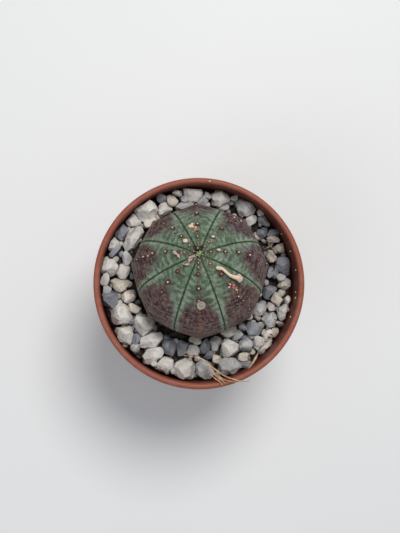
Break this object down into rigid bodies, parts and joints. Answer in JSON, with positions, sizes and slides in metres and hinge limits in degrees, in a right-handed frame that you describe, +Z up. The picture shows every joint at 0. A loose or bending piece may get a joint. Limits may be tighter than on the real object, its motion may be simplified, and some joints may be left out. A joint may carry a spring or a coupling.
{
  "type": "potted succulent",
  "caption": "Globular ribbed euphorbia with dried flower stalks, leaning in a thin terracotta-coloured plastic nursery pot top-dressed with angular gravel.",
  "frame": {"origin": "centre of the pot's underside, on the surface it stands on", "axes": "+Z up along the pot's turning axis, -Y to the side the plant leans away from, +X to its right"},
  "size_m": [0.085, 0.085, 0.0951],
  "materials": {
    "terracotta_plastic": "satin",
    "potting_soil": "matte",
    "euphorbia_skin": "matte",
    "dried_stalk": "matte",
    "straw": "matte",
    "pale_stone": "matte",
    "cream_stone": "matte",
    "grey_stone": "matte",
    "slate_stone": "matte"
  },
  "bodies": {
    "root": {"pot": "terracotta_plastic", "soil": "potting_soil", "euphorbia": "euphorbia_skin", "long_dried_stalk": "dried_stalk", "curled_dried_stalk": "dried_stalk", "short_dried_stalk": "dried_stalk", "long_straw": "straw", "short_straw": "straw", "gravel_01": "pale_stone", "gravel_02": "grey_stone", "gravel_03": "pale_stone", "gravel_04": "grey_stone", "gravel_05": "pale_stone", "gravel_06": "grey_stone", "gravel_07": "slate_stone", "gravel_08": "cream_stone", "gravel_09": "cream_stone", "gravel_10": "slate_stone", "gravel_11": "cream_stone", "gravel_12": "slate_stone", "gravel_13": "cream_stone", "gravel_14": "grey_stone", "gravel_15": "pale_stone", "gravel_16": "grey_stone", "gravel_17": "slate_stone", "gravel_18": "pale_stone", "gravel_19": "pale_stone", "gravel_20": "pale_stone", "gravel_21": "grey_stone", "gravel_22": "pale_stone", "gravel_23": "grey_stone", "gravel_24": "cream_stone", "gravel_25": "grey_stone", "gravel_26": "grey_stone", "gravel_27": "slate_stone", "gravel_28": "grey_stone", "gravel_29": "pale_stone", "gravel_30": "cream_stone", "gravel_31": "slate_stone", "gravel_32": "slate_stone", "gravel_33": "pale_stone", "gravel_34": "pale_stone", "gravel_35": "pale_stone", "gravel_36": "pale_stone", "gravel_37": "pale_stone", "gravel_38": "pale_stone", "gravel_39": "pale_stone", "gravel_40": "slate_stone", "gravel_41": "cream_stone", "gravel_42": "cream_stone", "gravel_43": "pale_stone", "gravel_44": "pale_stone", "gravel_45": "pale_stone", "gravel_46": "slate_stone", "gravel_47": "pale_stone", "gravel_48": "pale_stone", "gravel_49": "pale_stone", "gravel_50": "pale_stone"}
  },
  "joints": []
}
